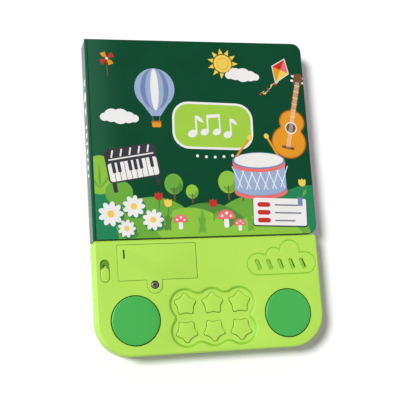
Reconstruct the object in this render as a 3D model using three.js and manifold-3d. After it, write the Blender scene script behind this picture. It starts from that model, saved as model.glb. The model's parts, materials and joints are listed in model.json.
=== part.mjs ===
import * as THREE from "three";
import { mergeVertices } from "three/addons/utils/BufferGeometryUtils.js";
import Module from "manifold-3d";

// A board book with a sound unit below it, lying on its back. Millimetres, +Z up.
// +X is to the reader's right, +Y runs to the top of the book, z = 0 is the back face.

const wasm = await Module();
wasm.setup();

// Shared clearances
const gap = 0.3;
const slideGap = 0.35;

// Book
const width = 200;
const bookHeight = 177.6;
const coverThick = 2;
const coverTop = 24;
const cornerRadius = 8.5;
const leafCount = 7;
const grooveHigh = 0.25;
const grooveDeep = 0.5;
const hingeUnderCover = 0.15;

// Sound unit
const unitHeight = 98.1;
const unitDrop = 1.5;
const unitCorner = 29.5;
const unitTopCorner = 2.4;
const edgeRound = 1.8;
const wall = 2;
const partingZ = 7;

// Battery door, measured from the unit's left edge and the book's lower edge
const doorLeft = 19.8;
const doorDown = 4.6;
const doorWide = 68.2;
const doorTall = 30.3;
const doorThick = 1.8;
const doorCorner = 0.8;
const tabCentre = 50.8;
const tabWide = 13;
const tabReach = 11.4;
const doorScrewDown = 39.3;
const doorHead = 2.95;
const doorSlotLeft = 24.8;
const doorSlotDown = 8.9;
const doorSlotWide = 1.3;
const doorSlotTall = 7.5;
const bayWide = 57;
const bayTall = 23.4;
const bayWall = 1.5;

// Slide switch
const switchLeft = 5;
const switchDown = 16.4;
const switchWide = 7.8;
const switchTall = 19.3;
const switchDeep = 1.4;
const knobTall = 12.2;
const knobProud = 0.1;
const stemWide = 2.4;
const stemTall = 3.6;

// Round push buttons
const buttonX = 67.2;
const buttonDown = 68.6;
const buttonRadius = 20.6;
const buttonProud = 1.3;
const buttonRound = 1.2;
const buttonSkin = 1.8;
const buttonGap = 0.5;

// Star keys
const starPitchX = 24;
const starPitchY = 22.65;
const starDown = 57.1;
const starTip = 10.4;
const starNotch = 7.1;
const starProud = 0.2;
const starBevel = 0.8;
const starRecessRadius = 14;
const starRecessSlope = 1;
const starRecessDeep = 1.3;
const starValleyX = 10.1;
const starValleyY = 11.3;
const flangeThick = 1.2;
const starFlange = 10.8;

// Cloud grille
const cloudLine = 1;
const cloudDeep = 0.7;
const cloudFlat = 34.7;
const cloudEndRadius = 9.25;
const slotFirst = 144;
const slotDown = 25.8;
const slotPitch = 10.25;
const slotLean = 19;
const slotLong = 10.4;
const slotWide = 3.1;
const slotDeep = 0.8;
const slotOpen = 1;

// Electronics
const boardThick = 1.6;
const boardTop = 12.4;
const speakerRadius = 14;
const cellRadius = 5.25;
const cellLong = 44.5;
const wireRadius = 0.6;

// Fits that follow from the sizes above
const bookTopY = (bookHeight + unitHeight) / 2;
const bookLowY = bookTopY - bookHeight;
const unitLowY = -bookTopY;
const unitHalf = width / 2 - gap;
const coverUnder = coverTop - coverThick;
const boardFaceZ = coverThick;
const floorZ = boardFaceZ + gap;
const floorTop = floorZ + wall;
const faceZ = coverTop - unitDrop;
const panelZ = faceZ - wall;
const domeZ = boardTop + gap;
const recessZ = faceZ - starRecessDeep;
const recessUnder = recessZ - wall;
const starRows = [bookLowY - starDown, bookLowY - starDown - starPitchY];
const starColumns = [-starPitchX, 0, starPitchX];
const buttonY = bookLowY - buttonDown;
const doorX = -width / 2 + doorLeft;
const doorY = bookLowY - doorDown;
const doorUnder = faceZ - doorThick;
const ledgeZ = doorUnder - gap;
const bayX = doorX + doorWide / 2;
const bayY = doorY - doorTall / 2;
const screwX = -width / 2 + tabCentre;
const screwY = bookLowY - doorScrewDown;
const switchX = -width / 2 + switchLeft + switchWide / 2;
const switchTopY = bookLowY - switchDown;
const speakerX = 65.3;
const speakerY = bookLowY - 25.6;
const doorRib = 1;
const cellZ = doorUnder - doorRib - 0.5 - cellRadius;
const bayRight = bayX + bayWide / 2 + bayWall;
const innerX = unitHalf - wall;
const innerHighY = bookLowY - gap - wall;
const innerLowY = unitLowY + wall;

// Finishes for the drawing
const paint = (color, roughness = 0.5, metalness = 0) =>
  new THREE.MeshStandardMaterial({ color, roughness, metalness });
const coverGreen = paint(0x0c5a30, 0.35);
const spineGreen = paint(0x0c5a30, 0.4);
const paper = paint(0xe9e5da, 0.9);
const limePlastic = paint(0xaee45a, 0.4);
const buttonGreen = paint(0x4db75a, 0.4);
const rubberWhite = paint(0xd8d8d2, 0.8);
const boardGreen = paint(0x2a6b3a, 0.5);
const black = paint(0x151515, 0.6);
const steel = paint(0xa8a8a8, 0.35, 1);
const cellSkin = paint(0x303438, 0.4, 0.5);
const redWire = paint(0xb02020, 0.5);
const coneGrey = paint(0x2b2b2b, 0.9);

// Solids
function solid(geometry) {
  const bare = geometry.clone();
  bare.deleteAttribute("normal");
  bare.deleteAttribute("uv");
  const merged = mergeVertices(bare, 1e-4);
  return new wasm.Manifold(
    new wasm.Mesh({
      numProp: 3,
      vertProperties: merged.attributes.position.array,
      triVerts: new Uint32Array(merged.index.array),
    }),
  );
}

const join = (...bodies) => wasm.Manifold.union(bodies);
const cut = (body, ...tools) => body.subtract(wasm.Manifold.union(tools));

const root = new THREE.Group();
root.name = "sound_book";

function piece(name, body, finish) {
  const data = body.getMesh();
  const geometry = new THREE.BufferGeometry();
  geometry.setAttribute("position", new THREE.BufferAttribute(data.vertProperties, 3));
  geometry.setIndex(new THREE.BufferAttribute(data.triVerts, 1));
  geometry.computeVertexNormals();
  const made = new THREE.Mesh(geometry, finish);
  made.name = name;
  root.add(made);
}

function plate(shape, low, high, curveSegments = 8) {
  const made = new THREE.ExtrudeGeometry(shape, {
    depth: high - low,
    bevelEnabled: false,
    curveSegments,
  });
  made.translate(0, 0, low);
  return solid(made);
}

// A plate whose upper and lower edges are rounded by the same radius
function softPlate(shape, low, high, round, curveSegments, bevelSegments) {
  const made = new THREE.ExtrudeGeometry(shape, {
    depth: high - low - 2 * round,
    bevelEnabled: true,
    bevelThickness: round,
    bevelSize: round,
    bevelOffset: -round,
    bevelSegments,
    curveSegments,
  });
  made.translate(0, 0, low + round);
  return solid(made);
}

function box(x, y, sizeX, sizeY, low, high) {
  const made = new THREE.BoxGeometry(sizeX, sizeY, high - low);
  made.translate(x, y, (low + high) / 2);
  return solid(made);
}

function post(x, y, low, high, radius, topRadius = radius, sides = 12) {
  const made = new THREE.CylinderGeometry(topRadius, radius, high - low, sides);
  made.rotateX(Math.PI / 2);
  made.translate(x, y, (low + high) / 2);
  return solid(made);
}

// A body of revolution about a vertical axis, from pairs of radius and height
function turned(x, y, pairs, sides) {
  const made = new THREE.LatheGeometry(
    pairs.map(([r, z]) => new THREE.Vector2(r, z)),
    sides,
  );
  made.rotateX(Math.PI / 2);
  made.translate(x, y, 0);
  return solid(made);
}

function tube(curve, radius, steps) {
  const round = new THREE.Shape().absarc(0, 0, radius, 0, 2 * Math.PI, false);
  return solid(
    new THREE.ExtrudeGeometry(round, { extrudePath: curve, steps, curveSegments: 3 }),
  );
}

// Outlines
function rounded(left, low, right, high, radii) {
  const [lowLeft, lowRight, highRight, highLeft] = radii;
  const turn = Math.PI / 2;
  const shape = new THREE.Shape();
  const corner = (x, y, radius, from) =>
    radius > 0
      ? shape.absarc(x, y, radius, from, from + turn, false)
      : shape.lineTo(x, y);
  shape.moveTo(left, low + lowLeft);
  corner(left + lowLeft, low + lowLeft, lowLeft, 2 * turn);
  corner(right - lowRight, low + lowRight, lowRight, 3 * turn);
  corner(right - highRight, high - highRight, highRight, 0);
  corner(left + highLeft, high - highLeft, highLeft, turn);
  shape.closePath();
  return shape;
}

function stadium(x, high, wide, tall) {
  const half = wide / 2;
  const shape = new THREE.Shape();
  shape.absarc(x, high - half, half, 0, Math.PI, false);
  shape.absarc(x, high - tall + half, half, Math.PI, 2 * Math.PI, false);
  shape.closePath();
  return shape;
}

// The sound unit's outline, drawn in by the given amount
function unitOutline(inset) {
  const big = unitCorner - inset;
  const small = Math.max(unitTopCorner - inset, 0.3);
  return rounded(
    inset - unitHalf,
    unitLowY + inset,
    unitHalf - inset,
    bookLowY - gap - inset,
    [big, big, small, small],
  );
}

// A fat five-pointed star with rounded points, grown by the given amount
function star(x, y, flip, grow = 0) {
  const corners = Array.from({ length: 10 }, (_, i) => {
    const radius = (i % 2 ? starNotch : starTip) + grow;
    const angle = (flip ? -1 : 1) * (Math.PI / 2 + (i * Math.PI) / 5);
    return new THREE.Vector2(x + radius * Math.cos(angle), y + radius * Math.sin(angle));
  });
  if (flip) corners.reverse();
  const shape = new THREE.Shape();
  corners.forEach((corner, i) => {
    const soft = corner.distanceTo(new THREE.Vector2(x, y)) > (starTip + starNotch) / 2 + grow;
    const share = soft ? 0.4 : 0.22;
    const before = corner.clone().lerp(corners[(i + 9) % 10], share);
    const after = corner.clone().lerp(corners[(i + 1) % 10], share);
    if (i === 0) shape.moveTo(before.x, before.y);
    else shape.lineTo(before.x, before.y);
    shape.quadraticCurveTo(corner.x, corner.y, after.x, after.y);
  });
  shape.closePath();
  return shape;
}

// The battery door with its rounded tab, grown by the given amount
function doorOutline(grow) {
  const half = tabWide / 2 + grow;
  const left = doorX - grow;
  const right = doorX + doorWide + grow;
  const low = doorY - doorTall - grow;
  const high = doorY + grow;
  const tip = low - tabReach + half;
  const shape = new THREE.Shape();
  shape.moveTo(left, low + doorCorner);
  shape.absarc(left + doorCorner, low + doorCorner, doorCorner, Math.PI, 1.5 * Math.PI, false);
  shape.lineTo(screwX - half, low);
  shape.absarc(screwX, tip, half, Math.PI, 2 * Math.PI, false);
  shape.lineTo(screwX + half, low);
  shape.absarc(right - doorCorner, low + doorCorner, doorCorner, 1.5 * Math.PI, 2 * Math.PI, false);
  shape.absarc(right - doorCorner, high - doorCorner, doorCorner, 0, Math.PI / 2, false);
  shape.absarc(left + doorCorner, high - doorCorner, doorCorner, Math.PI / 2, Math.PI, false);
  shape.closePath();
  return shape;
}

// Centres and radii of the cloud's puffs, from the left edge and the book's lower edge
const endDown = cloudFlat - cloudEndRadius;
const puffs = [
  [143.3, endDown, cloudEndRadius],
  [145.2, endDown, cloudEndRadius],
  [158.9, 18.7, 7.5],
  [173.6, 14.3, 9.1],
  [184.6, endDown, cloudEndRadius],
  [187.5, endDown, cloudEndRadius],
];

// The cloud as one solid tool between two heights, grown by the given amount
function cloud(grow, low, high) {
  const reach = cloudEndRadius + grow;
  const band = (from, to, up) =>
    box(
      (from[0] + to[0] - width) / 2,
      bookLowY - endDown - (reach - up) / 2,
      to[0] - from[0],
      reach + up,
      low,
      high,
    );
  return join(
    band(puffs[0], puffs[5], 0),
    band(puffs[0], puffs[1], reach),
    band(puffs[4], puffs[5], reach),
    ...puffs.map(([x, down, radius]) =>
      post(x - width / 2, bookLowY - down, low, high, radius + grow, undefined, 22),
    ),
  );
}

// Book boards and pages
const bookLeft = gap - width / 2;
const spineInner = bookLeft + coverThick;
const boardsLeft = spineInner + gap;

piece(
  "front_cover",
  plate(
    rounded(-width / 2, bookLowY, width / 2, bookTopY, [0, cornerRadius, cornerRadius, 0]),
    coverUnder,
    coverTop,
  ),
  coverGreen,
);
piece(
  "spine",
  box(
    (bookLeft + spineInner) / 2,
    (bookTopY + bookLowY) / 2,
    coverThick,
    bookHeight,
    0,
    coverUnder - 2 * hingeUnderCover,
  ),
  spineGreen,
);

// The back board carries the pages and runs on inside the unit's rear shell
const boardInset = wall + gap;
const rearBoard = rounded(
  boardsLeft,
  bookLowY,
  unitHalf,
  bookTopY,
  [0, 0, cornerRadius, 0],
);
const tongue = rounded(
  boardInset - unitHalf,
  unitLowY + boardInset,
  unitHalf - boardInset,
  bookLowY + 1,
  [unitCorner - boardInset, unitCorner - boardInset, 0, 0],
);
piece(
  "back_cover",
  join(plate(rearBoard, 0, coverThick), plate(tongue, 0, coverThick)),
  coverGreen,
);

function pageOutline(inset) {
  const round = cornerRadius - inset;
  return rounded(
    boardsLeft,
    bookLowY + inset,
    width / 2 - gap - inset,
    bookTopY - inset,
    [0, round, round, 0],
  );
}
const pagesLow = coverThick + gap;
const pagesHigh = coverUnder - gap;
const leafPitch = (pagesHigh - pagesLow + grooveHigh) / leafCount;
const leaves = Array.from({ length: leafCount }, (_, i) => {
  const low = pagesLow + i * leafPitch;
  return plate(pageOutline(0.2), low, low + leafPitch - grooveHigh, 4);
});
piece(
  "page_block",
  join(plate(pageOutline(0.2 + grooveDeep), pagesLow, pagesHigh, 4), ...leaves),
  paper,
);

// Positions of the screws that hold the unit together
const bossRadius = 3.3;
const bossEdge = bossRadius + 1 + gap + 0.25;
const cornerScrewX = innerX - 6.7;
const highScrewY = innerHighY - bossEdge;
const lowScrewY = innerLowY + bossEdge;
const lowScrewX = starPitchX + 18;
const housingScrews = [
  [-cornerScrewX, highScrewY],
  [bayRight + 20, highScrewY],
  [cornerScrewX, highScrewY],
  [cornerScrewX, buttonY + buttonRadius + 3],
  [lowScrewX, lowScrewY],
  [-lowScrewX, lowScrewY],
];
const boardScrews = [-1, 1].flatMap((side) => [
  [side * (starPitchX + 16), starRows[0] + 6],
  [side * (starPitchX + 16), starRows[1] - 1],
]);
const screwShank = 1.2;
const screwBore = screwShank + gap;
const screwHead = 2.5;
const housingHeadTop = 4.4;
const rearBossTop = 9;

// Front shell: a hollow cover with a rounded front edge
const doorPad = join(
  box(bayX, bayY, doorWide + 4, doorTall + 3, ledgeZ - wall, panelZ + 0.1),
  post(screwX, screwY, ledgeZ - wall, panelZ + 0.1, tabWide / 2 + 1.5, undefined, 16),
);
const bayTube = box(bayX, bayY, bayWide + 2 * bayWall, bayTall + 2 * bayWall, floorTop + gap, panelZ);
const starMiddle = (grow, low, high) =>
  box(
    0,
    starRows[0] - starPitchY / 2,
    2 * (starPitchX + starValleyX + grow),
    starPitchY + 2 * (starValleyY + grow),
    low,
    high,
  );
const starPad = join(
  starMiddle(1, recessUnder, panelZ + 0.1),
  ...starColumns.flatMap((x) =>
    starRows.map((y) => post(x, y, recessUnder, panelZ + 0.1, starRecessRadius + 1.2, undefined, 16)),
  ),
);
const switchPad = plate(
  stadium(switchX, switchTopY + 2, switchWide + 4, switchTall + 4),
  faceZ - switchDeep - wall,
  panelZ + 0.1,
  6,
);
const shellBosses = housingScrews.map(([x, y]) =>
  post(x, y, rearBossTop + gap, panelZ + 0.1, bossRadius),
);
const basketTop = panelZ - gap;
const speakerRing = cut(
  post(speakerX, speakerY, basketTop - 4.2, panelZ + 0.1, speakerRadius + 2, undefined, 24),
  post(speakerX, speakerY, basketTop - 5, panelZ + 0.2, speakerRadius + gap, undefined, 24),
);
const shellBody = join(
  cut(
    softPlate(unitOutline(0), partingZ - 4, faceZ, edgeRound, 10, 3),
    box(0, 0, 2 * width, 2 * width, -5, partingZ + gap),
    plate(unitOutline(wall), -5, panelZ, 6),
  ),
  doorPad,
  bayTube,
  starPad,
  switchPad,
  speakerRing,
  post(screwX, screwY, panelZ - 7.5, panelZ, bossRadius),
  ...shellBosses,
);

const starRecess = join(
  starMiddle(0, recessZ, faceZ + 0.1),
  ...starColumns.flatMap((x) =>
    starRows.map((y) =>
      post(x, y, recessZ, faceZ + 0.1, starRecessRadius - starRecessSlope, starRecessRadius, 24),
    ),
  ),
);
const starHoles = starColumns.flatMap((x) =>
  starRows.map((y, row) => plate(star(x, y, row === 1, slideGap), 0, faceZ + 1, 2)),
);
const buttonHoles = [-buttonX, buttonX].map((x) =>
  post(x, buttonY, 10, faceZ + 1, buttonRadius + buttonGap, undefined, 36),
);

// Grille slots lean to the right; each has an open slit along its right side
const slotBand = [];
const slotSlit = [];
for (let i = 0; i < 5; i++) {
  const x = slotFirst + i * slotPitch - width / 2;
  const y = bookLowY - slotDown;
  const lean = (made) => made.translate([-x, -y, 0]).rotate([0, 0, slotLean]).translate([x, y, 0]);
  slotBand.push(
    lean(plate(stadium(x, y + slotLong / 2, slotWide, slotLong), faceZ - slotDeep, faceZ + 1, 4)),
  );
  slotSlit.push(
    lean(box(x + (slotWide - slotOpen) / 2 - 0.2, y, slotOpen, slotLong - slotWide, panelZ - 5, faceZ + 1)),
  );
}
const stemRun = switchTall - knobTall;
const stemSlot = box(
  switchX,
  switchTopY - switchTall / 2,
  stemWide + 2 * slideGap,
  stemTall + stemRun,
  10,
  faceZ,
);
piece(
  "front_shell",
  cut(
    shellBody,
    starRecess,
    ...starHoles,
    ...buttonHoles,
    plate(doorOutline(gap), ledgeZ, faceZ + 1, 8),
    box(bayX, bayY, bayWide, bayTall, 0, faceZ),
    post(screwX, screwY, panelZ - 6.5, faceZ, screwBore),
    plate(stadium(switchX, switchTopY, switchWide, switchTall), faceZ - switchDeep, faceZ + 1, 6),
    stemSlot,
    cloud(0, faceZ - cloudDeep, faceZ + 1).subtract(cloud(-cloudLine, 0, faceZ + 2)),
    ...slotBand,
    ...slotSlit,
    ...housingScrews.map(([x, y]) => post(x, y, 0, panelZ - 2, screwBore, undefined, 8)),
  ),
  limePlastic,
);

// Rear shell: a tray whose rim wraps the back board on three sides
const rearBoss = ([x, y]) => post(x, y, floorZ, rearBossTop, bossRadius + 1);
const boardPost = ([x, y]) => post(x, y, floorTop - 0.1, boardTop - boardThick - gap, 3);
piece(
  "rear_shell",
  cut(
    join(
      cut(plate(unitOutline(0), 0, partingZ, 10), plate(unitOutline(wall), floorTop, partingZ + 1, 6)),
      ...housingScrews.map(rearBoss),
      ...boardScrews.map(boardPost),
      ...[-1, 1].map((side) =>
        box(bayX + side * 13, bayY, 1.6, bayTall - 1, floorTop - 0.1, cellZ - cellRadius - gap),
      ),
    ),
    plate(tongue, -1, floorZ, 8),
    box(0, bookLowY - 2, 2 * (unitHalf - boardInset), 8, -1, floorZ),
    ...housingScrews.flatMap(([x, y]) => [
      post(x, y, 0, housingHeadTop + gap, screwHead + gap),
      post(x, y, 0, rearBossTop + 1, screwBore, undefined, 8),
    ]),
    ...boardScrews.map(([x, y]) => post(x, y, floorZ + 0.8, boardTop, screwBore, undefined, 8)),
  ),
  limePlastic,
);

// A cross-head screw whose head faces up or down
function screw(name, x, y, tip, under, top, head) {
  const up = top > under ? 1 : -1;
  const body = join(
    post(x, y, Math.min(under, top), Math.max(under, top), head),
    post(x, y, Math.min(tip, under + up * 0.2), Math.max(tip, under + up * 0.2), screwShank, undefined, 8),
  );
  const low = Math.min(top, top - up * 0.9);
  const high = Math.max(top, top - up * 0.9) + 0.1;
  const cross = join(
    box(x, y, head * 1.2, 0.6, low - 0.05, high),
    box(x, y, 0.6, head * 1.2, low - 0.05, high),
  );
  piece(name, body.subtract(cross), steel);
}
housingScrews.forEach(([x, y], i) =>
  screw(`housing_screw_${i + 1}`, x, y, panelZ - 3, housingHeadTop, floorZ + 0.1, screwHead),
);
boardScrews.forEach(([x, y], i) =>
  screw(`board_screw_${i + 1}`, x, y, floorZ + 1.2, boardTop + gap, boardTop + gap + 1.6, screwHead),
);
screw("battery_door_screw", screwX, screwY, panelZ - 5.5, doorUnder + 0.9, faceZ - 0.2, doorHead);

// Battery door with its narrow pull slot and the counterbore for its screw
piece(
  "battery_door",
  cut(
    join(
      plate(doorOutline(0), doorUnder, faceZ, 8),
      box(bayX, bayY, bayWide - 2, bayTall - 2, doorUnder - doorRib, doorUnder + 0.1),
    ),
    box(bayX, bayY, bayWide - 5, bayTall - 5, doorUnder - 2 * doorRib, doorUnder),
    box(
      -width / 2 + doorSlotLeft,
      bookLowY - doorSlotDown - doorSlotTall / 2,
      doorSlotWide,
      doorSlotTall,
      doorUnder - 1,
      faceZ + 1,
    ),
    post(screwX, screwY, doorUnder + 0.9 - gap, faceZ + 1, doorHead + gap, undefined, 16),
    post(screwX, screwY, doorUnder - 1, faceZ, screwBore),
  ),
  limePlastic,
);

// Two cells lie side by side in the bay, one end on a plate and one on a spring
[1, -1].forEach((side, i) => {
  const y = bayY + (side * (cellRadius * 2 + gap)) / 2;
  const plusX = bayX + side * (bayWide / 2 - gap - 0.3);
  const minusX = bayX - side * (bayWide / 2 - gap - 0.3);
  const cellX = plusX - side * (0.3 + gap + cellLong / 2);
  const nub = new THREE.CylinderGeometry(cellRadius, cellRadius, cellLong - 1, 16);
  const tip = new THREE.CylinderGeometry(1.9, 1.9, 1.5, 10);
  for (const part of [nub, tip]) part.rotateZ(-Math.PI / 2);
  nub.translate(cellX - side * 0.5, y, cellZ);
  tip.translate(cellX + side * (cellLong / 2 - 0.75), y, cellZ);
  piece(`battery_${i + 1}`, join(solid(nub), solid(tip)), cellSkin);

  piece(
    `contact_plate_${i + 1}`,
    box(plusX, y, 0.6, 2 * cellRadius - 1.6, floorTop + gap, cellZ + 4.6),
    steel,
  );
  const springEnd = cellX - side * (cellLong / 2 + gap);
  const plateFace = minusX + side * 0.3;
  class Coil extends THREE.Curve {
    getPoint(t, target = new THREE.Vector3()) {
      const turns = 3.2 * 2 * Math.PI * t;
      const radius = 3.6 - 1.2 * t;
      return target.set(
        plateFace + side * 0.3 + (springEnd - plateFace - side * 0.8) * t,
        y + radius * Math.cos(turns),
        cellZ + radius * Math.sin(turns),
      );
    }
  }
  piece(
    `battery_spring_${i + 1}`,
    join(
      box(minusX, y, 0.6, 2 * cellRadius - 1.6, floorTop + gap, cellZ + 4.6),
      tube(new Coil(), 0.4, 32),
    ),
    steel,
  );
});

// Circuit board: one arm reaches up beside the battery bay to the slide switch
const boardOutline = new THREE.Shape();
const boardHigh = starRows[0] + 9.5;
const boardLow = innerLowY + 2 * bossEdge + 0.2;
const boardLeft = gap + 0.6 - innerX;
const boardRight = buttonX + 16.4;
const armRight = doorX - 3.8;
boardOutline.moveTo(boardLeft + 15, boardLow);
boardOutline.lineTo(boardRight, boardLow);
boardOutline.lineTo(boardRight, boardHigh - 5);
boardOutline.lineTo(boardRight - 6, boardHigh);
boardOutline.lineTo(armRight, boardHigh);
boardOutline.lineTo(armRight, switchTopY + 2);
boardOutline.lineTo(boardLeft, switchTopY + 2);
boardOutline.lineTo(boardLeft, boardLow + 13);
boardOutline.closePath();
piece(
  "circuit_board",
  cut(
    plate(boardOutline, boardTop - boardThick, boardTop),
    ...boardScrews.map(([x, y]) => post(x, y, 0, boardTop + 1, screwBore, undefined, 8)),
  ),
  boardGreen,
);
piece(
  "chip_cover",
  turned(-starPitchX / 2, (starRows[0] + starRows[1]) / 2, [[0, domeZ], [4.6, domeZ], [4, domeZ + 1], [2.4, domeZ + 1.7], [0, domeZ + 1.9]], 12),
  black,
);

// Star keys with a flange under the panel and a plunger over a rubber dome
const starTopZ = faceZ + starProud;
const starFlangeTop = recessUnder - gap;
const plungerZ = starFlangeTop - flangeThick - 1.6;
const starDomeTop = plungerZ - gap;
let starNumber = 0;
starRows.forEach((y, row) =>
  starColumns.forEach((x) => {
    starNumber += 1;
    const top = cut(
      softPlate(star(x, y, row === 1), starTopZ - 6, starTopZ, starBevel, 2, 1),
      box(x, y, 30, 30, -5, starFlangeTop - flangeThick),
    );
    piece(
      `star_key_${starNumber}`,
      join(
        top,
        post(x, y, starFlangeTop - flangeThick, starFlangeTop, starFlange, undefined, 16),
        post(x, y, plungerZ, starFlangeTop, 2.4, undefined, 8),
      ),
      limePlastic,
    );
    piece(
      `key_dome_${starNumber}`,
      turned(
        x,
        y,
        [[0, domeZ + 0.6], [2.6, domeZ + 0.6], [3.8, domeZ], [5, domeZ], [5, domeZ + 0.7], [3.9, domeZ + 0.7],
          [2.4, starDomeTop], [0, starDomeTop]],
        12,
      ),
      rubberWhite,
    );
  }),
);

// Round push buttons: thin caps with a flange, a plunger and a dome below
const buttonTopZ = faceZ + buttonProud;
const buttonFlangeTop = panelZ - gap;
const buttonPlungerZ = domeZ + 3.8;
["left", "right"].forEach((side, i) => {
  const x = (i ? 1 : -1) * buttonX;
  const arc = Array.from({ length: 4 }, (_, k) => {
    const angle = (k * Math.PI) / 6;
    return [
      buttonRadius - buttonRound + buttonRound * Math.cos(angle),
      buttonTopZ - buttonRound + buttonRound * Math.sin(angle),
    ];
  });
  const under = buttonTopZ - buttonSkin;
  const inner = buttonRadius - buttonSkin;
  piece(
    `round_button_${side}`,
    turned(
      x,
      buttonY,
      [
        [0, buttonPlungerZ],
        [3.6, buttonPlungerZ],
        [3.6, under],
        [inner, under],
        [inner, buttonFlangeTop - flangeThick],
        [buttonRadius + 1.6, buttonFlangeTop - flangeThick],
        [buttonRadius + 1.6, buttonFlangeTop],
        [buttonRadius, buttonFlangeTop],
        ...arc,
        [0, buttonTopZ],
      ],
      40,
    ),
    buttonGreen,
  );
  piece(
    `button_dome_${side}`,
    turned(
      x,
      buttonY,
      [[0, domeZ + 0.6], [4, domeZ + 0.6], [5.6, domeZ], [7, domeZ], [7, domeZ + 0.8], [5.8, domeZ + 0.8],
        [3.8, buttonPlungerZ - gap], [0, buttonPlungerZ - gap]],
      14,
    ),
    rubberWhite,
  );
});

// Slide switch: the knob rests at the lower end of its recess
const knobWide = switchWide - 2 * slideGap;
const knobHigh = switchTopY - switchTall + slideGap + knobTall;
const stemY = knobHigh - knobTall / 2;
const stemLow = domeZ + 2.7;
piece(
  "switch_knob",
  join(
    softPlate(stadium(switchX, knobHigh, knobWide, knobTall), faceZ - switchDeep + gap, faceZ + knobProud, 0.3, 6, 1),
    box(switchX, stemY, stemWide, stemTall, stemLow, faceZ - switchDeep + gap + 0.4),
  ),
  limePlastic,
);
piece(
  "slide_switch",
  cut(
    box(switchX, switchTopY - switchTall / 2, 5.6, 14, domeZ, stemLow + 1.2),
    box(switchX, switchTopY - switchTall / 2, stemWide + 0.8, stemTall + stemRun + 0.4, stemLow - gap, faceZ),
  ),
  black,
);

// Speaker under the cloud: a basket with a paper cone and a magnet behind it
const coneRadius = speakerRadius - 1.8;
const magnetRadius = speakerRadius * 0.49;
piece(
  "speaker_basket",
  turned(
    speakerX,
    speakerY,
    [
      [0, basketTop - 7],
      [magnetRadius + 0.6, basketTop - 7],
      [magnetRadius + 1.6, basketTop - 6.4],
      [speakerRadius - 2.4, basketTop - 2.8],
      [speakerRadius, basketTop - 2.8],
      [speakerRadius, basketTop],
      [speakerRadius - 1.4, basketTop],
      [speakerRadius - 1.4, basketTop - 1.8],
      [speakerRadius - 3, basketTop - 2],
      [magnetRadius + 1, basketTop - 5.6],
      [0, basketTop - 6.2],
    ],
    20,
  ),
  steel,
);
piece(
  "speaker_cone",
  turned(
    speakerX,
    speakerY,
    [
      [0, basketTop - 4.3],
      [coneRadius / 3, basketTop - 4.5],
      [coneRadius - 0.3, basketTop - 1.4],
      [coneRadius, basketTop - 0.8],
      [coneRadius - 0.8, basketTop - 0.8],
      [coneRadius * 0.38, basketTop - 3.7],
      [coneRadius * 0.26, basketTop - 2.8],
      [0, basketTop - 2.3],
    ],
    20,
  ),
  coneGrey,
);
piece(
  "speaker_magnet",
  post(speakerX, speakerY, basketTop - 11, basketTop - 7.3, magnetRadius, undefined, 16),
  steel,
);

// Wires run loose inside the unit, above the circuit board
function wire(name, points, finish) {
  const curve = new THREE.CatmullRomCurve3(points.map((p) => new THREE.Vector3(...p)));
  piece(name, tube(curve, wireRadius, 11), finish);
}
const wireZ = boardTop + gap + wireRadius;
const tailY = speakerY - magnetRadius - 0.9;
const tailZ = basketTop - 8;
wire(
  "speaker_wire_red",
  [
    [speakerX - 3.5, tailY, tailZ],
    [speakerX - 5.5, boardHigh + 6, tailZ + 0.6],
    [speakerX - 8.5, boardHigh + 1, wireZ + 0.7],
    [speakerX - 11.5, boardHigh - 3.5, wireZ],
    [speakerX - 15.5, boardHigh - 5.5, wireZ],
  ],
  redWire,
);
wire(
  "speaker_wire_black",
  [
    [speakerX + 3.5, tailY, tailZ],
    [speakerX + 2.5, boardHigh + 6, tailZ + 0.6],
    [speakerX + 0.5, boardHigh + 1.5, wireZ + 0.8],
    [speakerX - 5.5, boardHigh - 3, wireZ],
    [speakerX - 10.5, boardHigh - 7.9, wireZ],
  ],
  black,
);
const bayTailX = bayRight + gap + wireRadius;
wire(
  "battery_wire_red",
  [
    [bayTailX, bayY + 6, wireZ + 2],
    [bayTailX + 2.5, bayY - 6, wireZ + 1],
    [bayTailX + 2, boardHigh + 6, wireZ + 1.4],
    [bayTailX + 1, boardHigh + 0.5, wireZ + 0.6],
    [bayTailX, boardHigh - 2.5, wireZ],
  ],
  redWire,
);
wire(
  "battery_wire_black",
  [
    [bayTailX, bayY - 6, wireZ - 3],
    [bayTailX + 0.6, bayY - 12, wireZ - 2.6],
    [bayTailX - 0.6, boardHigh + 4, wireZ],
    [bayTailX - 2.6, boardHigh + 0.4, wireZ + 0.6],
    [bayTailX - 3.6, boardHigh - 2.5, wireZ],
  ],
  black,
);

export default root;
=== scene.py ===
import json
import math
import random

import bmesh
import bpy
from mathutils import Matrix, Vector


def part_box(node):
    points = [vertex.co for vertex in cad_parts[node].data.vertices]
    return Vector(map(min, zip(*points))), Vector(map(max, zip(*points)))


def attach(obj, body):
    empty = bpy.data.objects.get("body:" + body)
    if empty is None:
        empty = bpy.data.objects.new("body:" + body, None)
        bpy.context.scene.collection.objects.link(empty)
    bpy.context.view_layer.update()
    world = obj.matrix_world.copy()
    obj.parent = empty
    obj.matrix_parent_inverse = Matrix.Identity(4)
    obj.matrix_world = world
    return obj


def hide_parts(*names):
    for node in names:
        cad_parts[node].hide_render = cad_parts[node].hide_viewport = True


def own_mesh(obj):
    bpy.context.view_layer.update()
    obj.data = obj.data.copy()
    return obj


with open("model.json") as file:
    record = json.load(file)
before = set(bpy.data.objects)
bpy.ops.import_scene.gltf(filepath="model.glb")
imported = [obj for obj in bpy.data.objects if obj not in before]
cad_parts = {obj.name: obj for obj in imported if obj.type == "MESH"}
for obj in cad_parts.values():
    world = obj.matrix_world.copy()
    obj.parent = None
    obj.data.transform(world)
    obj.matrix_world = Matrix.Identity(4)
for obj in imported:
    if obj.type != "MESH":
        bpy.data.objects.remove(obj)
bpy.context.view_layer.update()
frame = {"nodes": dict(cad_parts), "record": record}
nodes = frame["nodes"]
rng = random.Random(7)
MM = 0.001

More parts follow.
